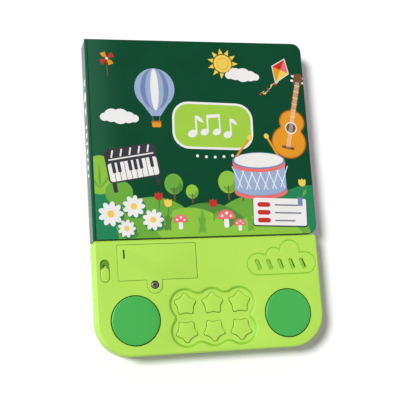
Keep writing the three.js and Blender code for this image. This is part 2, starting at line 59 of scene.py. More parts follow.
# Sizes shared with the solids, in millimetres
FACE = 22.5  # the unit's upper face
COVER = 24.0  # the front cover's upper face
PANEL = 20.5  # the under side of the unit's upper wall
BOOK_TOP = 137.85  # the book's far edge, and the unit's lower end on the other side
BOOK_LOW = -39.75  # where the book ends and the unit begins
BOOK_HALF = 100.0  # half the cover's width
HALF = 99.7  # half the unit's width
CORNER = 29.5  # the unit's large lower corners
COVER_CORNER = 8.5
BACK_HALF = 97.4
BACK_INSET = 2.3
BACK_THICK = 2.0


# Materials


def srgb(r, g, b):
    """A colour as it is seen, from 0 to 255, as linear light."""
    def lin(v):
        v /= 255
        return v / 12.92 if v <= 0.04045 else ((v + 0.055) / 1.055) ** 2.4

    return (lin(r), lin(g), lin(b), 1.0)


def finish(name, colour, rough=0.45, coat=0.0, metal=0.0, scale=900.0, shift=0.04, bump=0.02, sub=0.0,
           spec=0.5):
    """A surface with fine mottling in its colour, gloss and relief."""
    m = bpy.data.materials.new(name)
    m.use_nodes = True
    tree = m.node_tree
    n, link = tree.nodes, tree.links.new
    bsdf = n["Principled BSDF"]
    where = n.new("ShaderNodeTexCoord")
    fine = n.new("ShaderNodeTexNoise")
    fine.inputs["Scale"].default_value = scale
    fine.inputs["Detail"].default_value = 4
    broad = n.new("ShaderNodeTexNoise")
    broad.inputs["Scale"].default_value = scale / 30
    broad.inputs["Detail"].default_value = 2
    link(where.outputs["Object"], fine.inputs["Vector"])
    link(where.outputs["Object"], broad.inputs["Vector"])
    ramp = n.new("ShaderNodeValToRGB")
    low = [max(0.0, c * (1 - shift)) for c in colour[:3]]
    high = [min(1.0, c * (1 + shift)) for c in colour[:3]]
    ramp.color_ramp.elements[0].position = 0.3
    ramp.color_ramp.elements[1].position = 0.7
    ramp.color_ramp.elements[0].color = (*low, 1)
    ramp.color_ramp.elements[1].color = (*high, 1)
    link(broad.outputs["Fac"], ramp.inputs["Fac"])
    link(ramp.outputs["Color"], bsdf.inputs["Base Color"])
    gloss = n.new("ShaderNodeMapRange")
    gloss.inputs["To Min"].default_value = max(0.02, rough - 0.05)
    gloss.inputs["To Max"].default_value = min(1.0, rough + 0.05)
    link(fine.outputs["Fac"], gloss.inputs["Value"])
    link(gloss.outputs["Result"], bsdf.inputs["Roughness"])
    relief = n.new("ShaderNodeBump")
    relief.inputs["Strength"].default_value = bump
    relief.inputs["Distance"].default_value = 0.0002
    link(fine.outputs["Fac"], relief.inputs["Height"])
    link(relief.outputs["Normal"], bsdf.inputs["Normal"])
    bsdf.inputs["Metallic"].default_value = metal
    bsdf.inputs["Specular IOR Level"].default_value = spec
    bsdf.inputs["Coat Weight"].default_value = coat
    bsdf.inputs["Coat Roughness"].default_value = 0.12
    if sub:
        bsdf.inputs["Subsurface Weight"].default_value = sub
        bsdf.inputs["Subsurface Radius"].default_value = (0.002, 0.003, 0.001)
        bsdf.inputs["Subsurface Scale"].default_value = 0.4
    return m


lime = finish("lime_plastic", srgb(178, 225, 84), 0.42, shift=0.02, bump=0.05, sub=0.05, spec=0.4)
# Painted shade: a darker lime for the recess slope, the grille bands and the cloud's groove
lime_shade = finish("lime_recess_painted_shade", srgb(140, 198, 56), 0.5, shift=0.03, bump=0.05, spec=0.3)
# Painted shade: a deep lime for the walls of the gaps round keys, buttons, door and switch, and the keys'
# lower sides
gap_shade = finish("lime_gap_painted_shade", srgb(92, 150, 34), 0.5, shift=0.03, bump=0.05, spec=0.3)
button_green = finish("green_plastic", srgb(62, 172, 74), 0.34, shift=0.02, bump=0.04, sub=0.04, spec=0.4)
# Painted shade: a dark green for the buttons' lower sides
button_shade = finish("green_gap_painted_shade", srgb(30, 112, 44), 0.5, shift=0.03, bump=0.04, spec=0.2)
# Painted shade: near black for the walls of slits, slots and holes, and the screw's cross
slot_shade = finish("dark_gap_painted_shade", srgb(26, 40, 20), 0.7, shift=0.1, spec=0.05)
cover_green = finish("laminated_cover", srgb(2, 67, 40), 0.45, scale=1400, shift=0.06, bump=0.03, spec=0.1)
# Painted shade: a darker green for the groove of the crease along the spine
crease_shade = finish("film_crease_painted_shade", srgb(4, 44, 28), 0.6, scale=1400, shift=0.06, bump=0.03, spec=0.1)
# Painted sheen: the spine's green print is given a pale grey-green for its reflection
spine_sheen = finish("laminated_spine_painted_sheen", srgb(92, 122, 108), 0.35,
                     scale=1400, shift=0.05, bump=0.04, spec=0.2)
page_white = finish("page_board", srgb(222, 217, 206), 0.8, scale=2200, shift=0.025, bump=0.15)
silicone = finish("silicone", srgb(222, 222, 216), 0.6)
laminate = finish("board_laminate", srgb(38, 110, 58), 0.4, coat=0.3)
resin = finish("black_resin", srgb(18, 18, 18), 0.5)
cell_skin = finish("cell", srgb(44, 48, 54), 0.35, metal=0.4)
plated = finish("plated_steel", srgb(190, 190, 186), 0.3, metal=1.0, shift=0.1)
magnet = finish("magnet", srgb(90, 90, 92), 0.5, metal=1.0)
cone_paper = finish("cone_paper", srgb(34, 34, 34), 0.9, bump=0.3)
red_wire = finish("red_wire", srgb(180, 30, 30), 0.4)
black_wire = finish("black_wire", srgb(20, 20, 20), 0.4)
screw_steel = finish("screw_steel", srgb(120, 120, 116), 0.3, metal=1.0, shift=0.2, bump=0.1)

# The cover is painted paler along the spine, as painted sheen on its film
tree = cover_green.node_tree
where = tree.nodes.new("ShaderNodeTexCoord")
split = tree.nodes.new("ShaderNodeSeparateXYZ")
fade = tree.nodes.new("ShaderNodeMapRange")
fade.interpolation_type = "SMOOTHSTEP"
fade.inputs["From Min"].default_value = -0.1
fade.inputs["From Max"].default_value = -0.066
fade.inputs["To Min"].default_value = 0.9
fade.inputs["To Max"].default_value = 0.0
sheen_paint = tree.nodes.new("ShaderNodeMix")
sheen_paint.data_type = "RGBA"
sheen_paint.inputs["B"].default_value = srgb(36, 92, 66)
bsdf = tree.nodes["Principled BSDF"]
tree.links.new(bsdf.inputs["Base Color"].links[0].from_socket, sheen_paint.inputs["A"])
tree.links.new(where.outputs["Object"], split.inputs["Vector"])
tree.links.new(split.outputs["X"], fade.inputs["Value"])
tree.links.new(fade.outputs["Result"], sheen_paint.inputs["Factor"])
tree.links.new(sheen_paint.outputs["Result"], bsdf.inputs["Base Color"])

slot_finish = {
    "printed_board": cover_green,
    "page_board": page_white,
    "lime_plastic": lime,
    "green_plastic": button_green,
    "silicone": silicone,
    "board_laminate": laminate,
    "black_resin": resin,
    "cell": cell_skin,
    "plated_steel": plated,
    "magnet": magnet,
    "cone_paper": cone_paper,
    "red_wire": red_wire,
    "black_wire": black_wire,
    "screw_steel": screw_steel,
}
for part in frame["record"]["subparts"]:
    mesh = nodes[part["node"]].data
    mesh.materials.clear()
    mesh.materials.append(slot_finish[part["material_slot"]])


# Outlines, in millimetres, counterclockwise


def arc(x, y, r, start, end, steps):
    """Points on an arc, with its angles in degrees."""
    return [
        (x + r * math.cos(math.radians(start + (end - start) * i / steps)),
         y + r * math.sin(math.radians(start + (end - start) * i / steps)))
        for i in range(steps + 1)
    ]


def rounded(left, low, right, high, radii, steps=16):
    """A rectangle whose corners, from lower left, have these radii."""
    a, b, c, d = [max(r, 0.05) for r in radii]
    return (
        arc(left + a, low + a, a, 180, 270, steps)
        + arc(right - b, low + b, b, 270, 360, steps)
        + arc(right - c, high - c, c, 0, 90, steps)
        + arc(left + d, high - d, d, 90, 180, steps)
    )


def circle(x, y, r, steps=64):
    return arc(x, y, r, 0, 360, steps)[:-1]


def stadium(x, high, wide, tall, steps=16):
    """An upright slot with round ends, from its middle and its upper end."""
    r = wide / 2
    return arc(x, high - r, r, 0, 180, steps) + arc(x, high - tall + r, r, 180, 360, steps)


def star(x, y, flip, grow=0.0):
    """A fat star with rounded points and soft notches."""
    points = []
    for i in range(10):
        r = (6.75 if i % 2 else 10.9) + grow
        a = math.pi / 2 + i * math.pi / 5
        points.append(Vector((r * math.cos(a), (-1 if flip else 1) * r * math.sin(a))))
    if flip:
        points.reverse()
    out = []
    for i, corner in enumerate(points):
        share = 0.5 if corner.length > 9 + grow else 0.38
        before = corner.lerp(points[i - 1], share)
        after = corner.lerp(points[(i + 1) % 10], share)
        for k in range(7):
            t = k / 6
            p = before * (1 - t) ** 2 + corner * (2 * t * (1 - t)) + after * t * t
            out.append((x + p.x, y + p.y))
    return out


def inward(points, d):
    """The outline moved inwards by d along its own normals."""
    if abs(d) < 1e-9:
        return list(points)
    count = len(points)
    out = []
    for i, (x, y) in enumerate(points):
        ax, ay = points[i - 1]
        bx, by = points[(i + 1) % count]
        e1 = Vector((x - ax, y - ay)).normalized()
        e2 = Vector((bx - x, by - y)).normalized()
        n1 = Vector((-e1.y, e1.x))
        n2 = Vector((-e2.y, e2.x))
        n = n1 + n2
        if n.length < 1e-6:
            n = n1
        n.normalize()
        step = d / max(0.5, n.dot(n1))
        out.append((x + n.x * step, y + n.y * step))
    return out


# Solids


def build(name, rings, material):
    """A closed skin through rings of points, capped at both ends."""
    bm = bmesh.new()
    loops = [[bm.verts.new((x * MM, y * MM, z * MM)) for x, y in ring] for ring, z in rings]
    bm.faces.new(list(reversed(loops[0])))
    for low, high in zip(loops, loops[1:]):
        for i in range(len(low)):
            j = (i + 1) % len(low)
            bm.faces.new((low[i], low[j], high[j], high[i]))
    bm.faces.new(loops[-1])
    bmesh.ops.recalc_face_normals(bm, faces=bm.faces)
    return settle(name, bm, material)


def settle(name, bm, material):
    """An object made of these faces, shaded smooth up to its edges."""
    mesh = bpy.data.meshes.new(name)
    bm.to_mesh(mesh)
    bm.free()
    obj = bpy.data.objects.new(name, mesh)
    bpy.context.scene.collection.objects.link(obj)
    mesh.materials.append(material)
    soften(obj)
    return obj


def soften(obj, angle=35):
    for face in obj.data.polygons:
        face.use_smooth = True
    obj.data.set_sharp_from_angle(angle=math.radians(angle))


def prism(name, outline, low, high, material, top=0.0, base=0.0, steps=4):
    """An upright solid with rounded upper and lower edges of these radii."""
    rings = []
    if base:
        for i in range(steps + 1):
            a = math.pi / 2 * i / steps
            rings.append((inward(outline, base * (1 - math.sin(a))), low + base * (1 - math.cos(a))))
    else:
        rings.append((outline, low))
    if top:
        for i in range(steps + 1):
            a = math.pi / 2 * i / steps
            rings.append((inward(outline, top * (1 - math.cos(a))), high - top * (1 - math.sin(a))))
    else:
        rings.append((outline, high))
    return build(name, rings, material)


def spun(name, x, y, pairs, material, steps=96):
    """A body of revolution about an upright axis, from radius and height."""
    bm = bmesh.new()
    loops = []
    for r, z in pairs:
        if r < 1e-6:
            loops.append([bm.verts.new((x * MM, y * MM, z * MM))])
        else:
            loops.append([bm.verts.new((px * MM, py * MM, z * MM)) for px, py in circle(x, y, r, steps)])
    for low, high in zip(loops, loops[1:]):
        for i in range(steps):
            j = (i + 1) % steps
            ring = [low[i % len(low)], low[j % len(low)], high[j % len(high)], high[i % len(high)]]
            ring = list(dict.fromkeys(ring))
            if len(ring) > 2:
                bm.faces.new(ring)
    bmesh.ops.recalc_face_normals(bm, faces=bm.faces)
    return settle(name, bm, material)


def block(outline, low, high, material):
    """A plain upright solid to cut or join with."""
    return prism("block", outline, low, high, material)


def carve(obj, cutters, join=False):
    """Cuts the cutters out of obj, or joins them to it, and removes them."""
    for cutter in cutters:
        for nudge in range(6):
            mod = obj.modifiers.new("cut", "BOOLEAN")
            mod.operation = "UNION" if join else "DIFFERENCE"
            mod.solver = "EXACT"
            mod.material_mode = "TRANSFER"
            mod.object = cutter
            bpy.context.view_layer.update()
            graph = bpy.context.evaluated_depsgraph_get()
            mesh = bpy.data.meshes.new_from_object(obj.evaluated_get(graph))
            obj.modifiers.clear()
            if len(mesh.polygons) >= 0.6 * len(obj.data.polygons):
                obj.data = mesh
                break
            cutter.location += Vector((0.0000031, 0.0000023, 0.0000017))
        else:
            raise RuntimeError("the cut failed on " + obj.name)
        bpy.data.objects.remove(cutter)
    soften(obj)


def shade_below(obj, height, material):
    """Paints the faces below this height in this material, as painted shade in a narrow gap."""
    obj.data.materials.append(material)
    for face in obj.data.polygons:
        if face.center.z < height * MM:
            face.material_index = len(obj.data.materials) - 1


def round_edges(obj, width, segments=2, angle=40):
    mod = obj.modifiers.new("round", "BEVEL")
    mod.width = width * MM
    mod.segments = segments
    mod.limit_method = "ANGLE"
    mod.angle_limit = math.radians(angle)
    mod.harden_normals = True
    mod.use_clamp_overlap = True


def show(obj, body, *stands_for):
    """Lets a piece ride on a body, in place of these nodes."""
    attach(obj, body)
    if stands_for:
        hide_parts(*stands_for)


# Book boards and pages

cover_outline = rounded(-BOOK_HALF, BOOK_LOW, BOOK_HALF, BOOK_TOP, [0.4, COVER_CORNER, COVER_CORNER, 0.4])
cover = prism("cover_board", cover_outline, 22, COVER, cover_green, top=0.35, base=0.35)
# The crease's groove is painted shade
crease_outline = rounded(-98.0, BOOK_LOW - 5, -97.4, BOOK_TOP + 5, [0.1] * 4, 2)
carve(cover, [block(crease_outline, COVER - 0.18, COVER + 2, crease_shade)])
show(cover, "cover", "front_cover")

spine = prism("spine_board", rounded(-99.7, BOOK_LOW, -97.7, BOOK_TOP, [0.6] * 4, 4),
              0, 21.7, spine_sheen, top=0.5, base=0.4)
show(spine, "body", "spine")

inner = CORNER - BACK_INSET
back_outline = (
    arc(-BACK_HALF + inner, -BOOK_TOP + BACK_INSET + inner, inner, 180, 270, 24)
    + arc(BACK_HALF - inner, -BOOK_TOP + BACK_INSET + inner, inner, 270, 360, 24)
    + [(BACK_HALF, BOOK_LOW), (HALF, BOOK_LOW)]
    + arc(HALF - COVER_CORNER, BOOK_TOP - COVER_CORNER, COVER_CORNER, 0, 90, 16)
    + [(-BACK_HALF, BOOK_TOP)]
)
back = prism("back_board", back_outline, 0, BACK_THICK, cover_green, top=0.2, base=0.35)
show(back, "body", "back_cover")


def page_outline(inset):
    """The leaves' outline, drawn in from the boards on three sides."""
    r = COVER_CORNER - inset
    return rounded(-BACK_HALF, BOOK_LOW + inset, HALF - inset, BOOK_TOP - inset, [0.3, r, r, 0.3])


LEAVES = 7
LEAF_GAP = 0.25
PAGES_LOW, PAGES_TALL = 2.3, 19.4

bm = bmesh.new()
leaf_pitch = (PAGES_TALL + LEAF_GAP) / LEAVES
for i in range(LEAVES):
    low = PAGES_LOW + i * leaf_pitch
    edge = page_outline(0.2 + rng.uniform(0, 0.15))
    page = prism("leaf", edge, low, low + leaf_pitch - LEAF_GAP, page_white, top=0.18, base=0.18, steps=2)
    bm.from_mesh(page.data)
    bpy.data.objects.remove(page)
core = prism("core", page_outline(0.8), PAGES_LOW + 0.05, PAGES_LOW + PAGES_TALL - 0.05, page_white)
bm.from_mesh(core.data)
bpy.data.objects.remove(core)
pages = settle("page_leaves", bm, page_white)
show(pages, "body", "page_block")


# Sound unit

# Star keys: middles, the recess's lobes and the gap around each key
ROWS = (-96.85, -119.5)
PITCH = 24.0
COLUMNS = (-PITCH, 0.0, PITCH)
LOBE = 14
STAR_GAP, BUTTON_GAP, DOOR_GAP = 0.36, 0.7, 0.32
STAR_TOP = 22.75

# Round buttons: distance from the middle, height on the unit and radius
BUTTON = (67.2, -108.35, 20.6)
BUTTON_TOP = FACE + 1.3

# Battery door: left, low, right and high edge, its tab and its screw
DOOR = (-80.2, -74.65, -12.0, -44.35)
TAB_X, TAB_HALF, TAB_REACH = -49.2, 6.5, 11.4
SCREW = (-49.2, -79.05)

# Slide switch: middle, upper end, width and length of its recess
SWITCH = (-91.1, -56.15, 7.8, 19.3)
KNOB_WIDE, KNOB_TALL = 7.1, 12.2

# Cutters end above the face
ABOVE = 24


def unit_outline(inset):
    """The sound unit's outline, with large corners at its lower end."""
    r = CORNER - inset
    s = max(2.4 - inset, 0.3)
    high = BOOK_LOW - 0.3 - inset
    return rounded(-HALF + inset, -BOOK_TOP + inset, HALF - inset, high, [r, r, s, s], 24)


def pocket(grow):
    """The lobed outline of the star recess, with a soft valley between lobes."""
    top, side = 7.8, 3.07
    radius = LOBE + grow
    high, low = ROWS
    half, middle = (high - low) / 2, (high + low) / 2
    valley = PITCH / 2
    up = math.sqrt((LOBE + top) ** 2 - valley ** 2)
    out = math.sqrt((LOBE + side) ** 2 - half ** 2)
    steep = math.degrees(math.atan2(up, valley))
    flat = math.degrees(math.atan2(half, out))
    return (
        arc(-PITCH, low, radius, 180 - flat, 360 - steep, 20)
        + arc(-valley, low - up, top - grow, 180 - steep, steep, 10)[1:-1]
        + arc(0, low, radius, 180 + steep, 360 - steep, 10)
        + arc(valley, low - up, top - grow, 180 - steep, steep, 10)[1:-1]
        + arc(PITCH, low, radius, 180 + steep, 360 + flat, 20)
        + arc(PITCH + out, middle, side - grow, 180 + flat, 180 - flat, 8)[1:-1]
        + arc(PITCH, high, radius, -flat, 180 - steep, 20)
        + arc(valley, high + up, top - grow, 360 - steep, 180 + steep, 10)[1:-1]
        + arc(0, high, radius, steep, 180 - steep, 10)
        + arc(-valley, high + up, top - grow, 360 - steep, 180 + steep, 10)[1:-1]
        + arc(-PITCH, high, radius, steep, 180 + flat, 20)
        + arc(-PITCH - out, middle, side - grow, flat, -flat, 8)[1:-1]
    )


def door_outline(grow):
    """The battery door with its round tab."""
    left, low, right, high = DOOR[0] - grow, DOOR[1] - grow, DOOR[2] + grow, DOOR[3] + grow
    half = TAB_HALF + grow
    tip = low - TAB_REACH + half
    r = 0.8
    return (
        arc(left + r, low + r, r, 180, 270, 5)
        + [(TAB_X - half, low)]
        + arc(TAB_X, tip, half, 180, 360, 24)
        + [(TAB_X + half, low)]
        + arc(right - r, low + r, r, 270, 360, 5)
        + arc(right - r, high - r, r, 0, 90, 5)
        + arc(left + r, high - r, r, 90, 180, 5)
    )


def meeting(a, b):
    """The upper point where two circles cross."""
    (ax, ay, ar), (bx, by, br) = a, b
    d = math.hypot(bx - ax, by - ay)
    along = (ar * ar - br * br + d * d) / (2 * d)
    h = math.sqrt(ar * ar - along * along)
    mx, my = ax + (bx - ax) * along / d, ay + (by - ay) * along / d
    p = (mx - (by - ay) * h / d, my + (bx - ax) * h / d)
    q = (mx + (by - ay) * h / d, my - (bx - ax) * h / d)
    return p if p[1] > q[1] else q


# The cloud's puffs: middle and radius
END = 9.25
PUFFS = [
    (43.3, -65.2, END), (45.2, -65.2, END), (58.9, -58.45, 7.5),
    (73.6, -54.05, 9.1), (84.6, -65.2, END), (87.5, -65.2, END),
]


def cloud_path(inset=0.0):
    """The cloud's outline: puffs in a row over a flat base."""
    puffs = [(x, y, r - inset) for x, y, r in PUFFS]
    first, last = puffs[0], puffs[-1]
    spots = [(first[0], first[1] - first[2])]
    for a, b in zip(puffs, puffs[1:]):
        spots.append(None if a[1:] == b[1:] else meeting(a, b))
    spots.append((last[0], last[1] - last[2]))
    path = []
    for (x, y, r), s, e in zip(puffs, spots, spots[1:]):
        s, e = s or (x, y + r), e or (x, y + r)
        a = math.degrees(math.atan2(s[1] - y, s[0] - x))
        b = math.degrees(math.atan2(e[1] - y, e[0] - x))
        while b > a + 1e-6:
            b -= 360
        path += arc(x, y, r, a, b, 24)
    low = first[1] - first[2]
    path += [(last[0] + (first[0] - last[0]) * i / 24, low) for i in range(1, 24)]
    return [p for i, p in enumerate(path) if math.dist(p, path[i - 1]) > 1e-6]


def groove(rings, material):
    """A closed channel cutter whose section runs through these rings."""
    bm = bmesh.new()
    loops = [[bm.verts.new((x * MM, y * MM, z * MM)) for x, y in ring] for ring, z in rings]
    for low, high in zip(loops, loops[1:] + loops[:1]):
        for i in range(len(low)):
            j = (i + 1) % len(low)
            bm.faces.new((low[i], low[j], high[j], high[i]))
    bmesh.ops.recalc_face_normals(bm, faces=bm.faces)
    return settle("groove", bm, material)


front = prism("unit_front", unit_outline(0), 7.3, FACE, lime, top=1.8, steps=8)
carve(front, [block(unit_outline(2), 0, PANEL, lime)])
door_pad = rounded(DOOR[0] - 2, DOOR[1] - 1.5, DOOR[2] + 2, DOOR[3] + 1.5, [0.5] * 4, 3)
pads = [
    block(door_pad, 18.4, PANEL + 0.1, lime),
    block(circle(*SCREW, 8, 32), 18.4, PANEL + 0.1, lime),
    block(rounded(-76.1, -72.7, -16.1, -46.3, [0.5] * 4, 3), 4.6, PANEL + 0.05, lime),
    block(stadium(SWITCH[0], SWITCH[1] + 2, SWITCH[2] + 4, SWITCH[3] + 4), 19.1, PANEL + 0.1, lime),
]
pads += [block(circle(x, y, 15.2, 40), 19.2, PANEL + 0.1, lime) for x in COLUMNS for y in ROWS]
# Each pad lies a hair higher than the last, so that no faces coincide
for i, pad in enumerate(pads):
    pad.location.z += 0.000002 * i
carve(front, pads, join=True)

# The recess has a flat floor and a soft slope, and only the slope is darker, as painted shade
slope = (
    (-2.5, 21.2), (-2.1, 21.25), (-1.5, 21.5), (-0.7, 21.95),
    (-0.1, 22.22), (0.4, 22.4), (1.0, 22.5), (1.6, 22.58),
)
recess = build("recess", [(pocket(grow), z) for grow, z in slope], lime_shade)
recess.data.materials.append(lime)
for face in recess.data.polygons:
    if abs(face.normal.z) > 0.99 or face.center.z > 22.3 * MM:
        face.material_index = 1
cutters = [recess]
# The holes round the stars and buttons have walls painted shade
for x in COLUMNS:
    for y in ROWS:
        cutters.append(block(star(x, y, y == ROWS[1], STAR_GAP), 14, 23.5, gap_shade))
for side in (-1, 1):
    hole = circle(side * BUTTON[0], BUTTON[1], BUTTON[2] + BUTTON_GAP, 96)
    cutters.append(block(hole, 14, ABOVE, gap_shade))
stem_slot = rounded(SWITCH[0] - 1.55, -71.15, SWITCH[0] + 1.55, -60.45, [0.3] * 4, 3)
# The door's gap, the switch's recess and its stem slot have walls painted shade
cutters += [
    block(door_outline(DOOR_GAP), 20.4, ABOVE, gap_shade),
    block(rounded(-74.6, -71.2, -17.6, -47.8, [0.5] * 4, 3), 0, 22, lime),
    block(stadium(*SWITCH), 21.1, ABOVE, gap_shade),
    block(stem_slot, 16, 22, gap_shade),
]

# Leaning grille slots, each with a narrow slit along its right side; the bands' walls are painted shade and
# the slits' walls darker painted shade
SLITS = (0.26, 0.3, 0.66, 0.76, 0.86)
SLOT_PITCH, SLOT_LEAN = 10.25, 19
for i, wide in enumerate(SLITS):
    x, y = 44.0 + i * SLOT_PITCH, -65.55
    lean = Matrix.Translation((x * MM, y * MM, 0)) @ Matrix.Rotation(math.radians(SLOT_LEAN), 4, "Z")
    band = block(stadium(-0.4, 5.2, 3.8, 10.4), 21.6, ABOVE, lime_shade)
    slit = block(rounded(1.35 - wide, -3.65, 1.35, 3.65, [0.1] * 4, 4), 16, ABOVE, slot_shade)
    for cutter in (band, slit):
        cutter.matrix_world = lean
        cutters.append(cutter)

# The cloud's line, from the inset and the height of its section; its floor is painted shade
section = ((-1.0, 0.2), (-0.8, -0.12), (-0.55, -0.55), (-0.2, -0.6), (0.3, -0.3), (0.6, 0.1))
line = groove([(cloud_path(inset), FACE + z) for inset, z in section], lime)
shade_below(line, FACE - 0.34, lime_shade)
cutters.append(line)
carve(front, cutters)
round_edges(front, 0.22)
show(front, "body", "front_shell")

door = prism("door_plate", door_outline(0), 20.7, FACE, lime, top=0.2, base=0.1, steps=3)
# The door's slot and the screw's seat and hole have walls painted dark shade
carve(door, [
    block(rounded(-75.2, -56.15, -73.9, -48.65, [0.5] * 4, 5), 14, ABOVE, slot_shade),
    block(circle(*SCREW, 3.5, 48), 21.3, ABOVE, slot_shade),
    block(circle(*SCREW, 1.5, 24), 14, ABOVE, slot_shade),
])
round_edges(door, 0.15)
show(door, "body", "battery_door")


def dome(node, x, y, crown):
    """A silicone dome that sits under its key."""
    (left, _, low), (right, _, high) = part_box(node)
    foot, low, high = (right - left) / 2 / MM, low / MM, high / MM
    pairs = [
        (0, low + 0.6), (crown + 0.2, low + 0.6), (foot - 1.2, low), (foot, low),
        (foot, low + 0.7), (foot - 1.1, low + 0.7), (crown + 0.3, high - 0.5),
        (crown + 0.1, high - 0.15), (crown - 0.25, high), (0, high),
    ]
    rubber = spun(f"{node}_rubber", x, y, pairs, silicone, steps=48)
    show(rubber, "body", node)
    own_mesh(rubber)


for side, name in ((-1, "left"), (1, "right")):
    x, y, r = side * BUTTON[0], BUTTON[1], BUTTON[2]
    under = BUTTON_TOP - 1.8
    pairs = [
        (0, 16.5), (3.6, 16.5), (3.6, under), (r - 1.8, under),
        (r - 1.8, 19), (r + 1.6, 19), (r + 1.6, 20.2), (r, 20.2),
    ]
    for i in range(9):
        a = math.pi / 2 * i / 8
        pairs.append((r - 1.5 + 1.5 * math.cos(a), BUTTON_TOP - 1.2 + 1.2 * math.sin(a)))
    pairs += [(r * 0.6, BUTTON_TOP + 0.04), (r * 0.3, BUTTON_TOP + 0.1), (0, BUTTON_TOP + 0.12)]
    button = spun(f"button_{name}_cap", x, y, pairs, button_green)
    # The cap's lower side is painted shade
    shade_below(button, 23.15, button_shade)
    show(button, f"button_{name}", f"round_button_{name}")
    dome(f"button_dome_{name}", x, y, 3.8)

index = 0
for y in ROWS:
    for x in COLUMNS:
        index += 1
        outline = star(x, y, y == ROWS[1])
        key = prism(f"star_{index}_cap", outline, 18.1, STAR_TOP, lime, top=0.75, steps=5)
        flange = block(circle(x, y, 10.8, 48), 17.7, 18.9, lime)
        plunger = block(circle(x, y, 2.4, 24), 16.1, 18.3, lime)
        carve(key, [flange, plunger], join=True)
        # The key's lower sides are painted shade
        shade_below(key, 22.3, gap_shade)
        show(key, f"star_{index}", f"star_key_{index}")
        dome(f"key_dome_{index}", x, y, 2.4)

knob_high = SWITCH[1] - SWITCH[3] + 0.35 + KNOB_TALL
knob_outline = stadium(SWITCH[0], knob_high, KNOB_WIDE, KNOB_TALL)
knob = prism("switch_cap", knob_outline, 21.4, 22.7, lime, top=0.5, base=0.2, steps=4)
stem_outline = rounded(SWITCH[0] - 1.2, knob_high - 7.9, SWITCH[0] + 1.2, knob_high - 4.3, [0.2] * 4, 3)
stem = block(stem_outline, 15.4, 21.9, lime)
shutter_outline = rounded(SWITCH[0] - 2.6, knob_high - 13, SWITCH[0] + 2.6, knob_high + 4, [0.3] * 4, 3)
shutter = block(shutter_outline, 18, 18.8, lime)
carve(knob, [stem, shutter], join=True)
show(knob, "knob", "switch_knob")

head = []
for i in range(7):
    a = math.pi / 2 * i / 6
    head.append((2.95 * math.cos(a) if i < 6 else 0, 21.8 + 0.5 * math.sin(a)))
shank = [(0, 15), (1.2, 15), (1.2, 21.6), (2.95, 21.6)]
screw = spun("door_screw", *SCREW, shank + head, screw_steel, 48)
bars = [
    rounded(SCREW[0] - u, SCREW[1] - v, SCREW[0] + u, SCREW[1] + v, [0.1] * 4, 2)
    for u, v in ((1.9, 0.4), (0.4, 1.9))
]
# The screw's cross recess is painted dark shade
carve(screw, [block(bar, 21.6, ABOVE, slot_shade) for bar in bars])
show(screw, "body", "battery_door_screw")


# Printed artwork: toys in a garden, with no lettering

INKS = {
    "white": (236, 236, 232), "ink": (46, 48, 54), "grey": (120, 128, 138), "teal": (26, 126, 82),
    "light": (138, 194, 62), "mid": (104, 168, 58), "olive": (80, 136, 52), "plaque": (158, 204, 66),
    "blue": (152, 174, 206), "navy": (112, 134, 172), "orange": (226, 150, 32), "rust": (186, 102, 28),
    "yellow": (236, 204, 84), "red": (196, 44, 38), "pink": (232, 112, 110), "brown": (112, 74, 42),
}
print_edge = rounded(-96.9, BOOK_LOW + 0.4, 99.6, BOOK_TOP - 0.4, [0.1, 8.1, 8.1, 0.1])
INK_STEP = 0.0012
printed = {}
print_finish = {}


def turned(points, u, v, angle=0.0):
    c, s = math.cos(math.radians(angle)), math.sin(math.radians(angle))
    return [(u + x * c - y * s, v + x * s + y * c) for x, y in points]


def ellipse(u, v, a, b, angle=0.0, steps=40):
    return turned([(a * x, b * y) for x, y in circle(0, 0, 1, steps)], u, v, angle)


def panel(u, v, wide, tall, r, angle=0.0):
    return turned(rounded(-wide / 2, -tall / 2, wide / 2, tall / 2, [r] * 4, 6), u, v, angle)


def leaf(u, v, long, wide, angle):
    """A pointed leaf that starts at u, v and runs along the angle."""
    side = [(long * i / 12, wide / 2 * math.sin(math.pi * (i / 12) ** 0.8)) for i in range(13)]
    return turned(side[::-1] + [(x, -y) for x, y in side[1:-1]], u, v, angle)


def ink(colour, points):
    """Prints a shape placed from the cover's lower left corner, over the last one."""
    shape = [(x - BOOK_HALF, y + BOOK_LOW) for x, y in points]
    for i, b in enumerate(print_edge):
        a = print_edge[i - 1]
        side = [(b[0] - a[0]) * (y - a[1]) - (b[1] - a[1]) * (x - a[0]) for x, y in shape]
        kept = []
        for k, p in enumerate(shape):
            q = shape[k - 1]
            if (side[k] >= 0) != (side[k - 1] >= 0):
                t = side[k - 1] / (side[k - 1] - side[k])
                kept.append((q[0] + (p[0] - q[0]) * t, q[1] + (p[1] - q[1]) * t))
            if side[k] >= 0:
                kept.append(p)
        shape = kept
        if not shape:
            return
    shape = [p for i, p in enumerate(shape) if math.dist(p, shape[i - 1]) > 1e-4]
    order = sum(len(shapes) for shapes in printed.values())
    printed.setdefault(colour, []).append((shape, COVER + 0.003 + INK_STEP * order))


def cloud_print(u, v, scale=1.0):
    for x, y, r in ((-13, -1, 4.2), (-6.5, 0.5, 7), (1.5, -0.5, 8), (9, -1.5, 6), (14.5, -2.5, 4)):
        ink("white", ellipse(u + x * scale, v + y * scale, r * scale, r * scale * 0.9))


def tree_print(u, v, r, crown, shade):
    ink("brown", panel(u, v - r, 1.6, 1.6 * r, 0.5))
    ink(crown, ellipse(u, v, r, r * 1.12))
    ink(shade, ellipse(u + r * 0.22, v - r * 0.36, r * 0.72, r * 0.62))
    ink(crown, ellipse(u - r * 0.1, v + r * 0.04, r * 0.66, r * 0.52))
    ink("brown", panel(u, v - r * 0.75, 0.8, r * 0.9, 0.3))


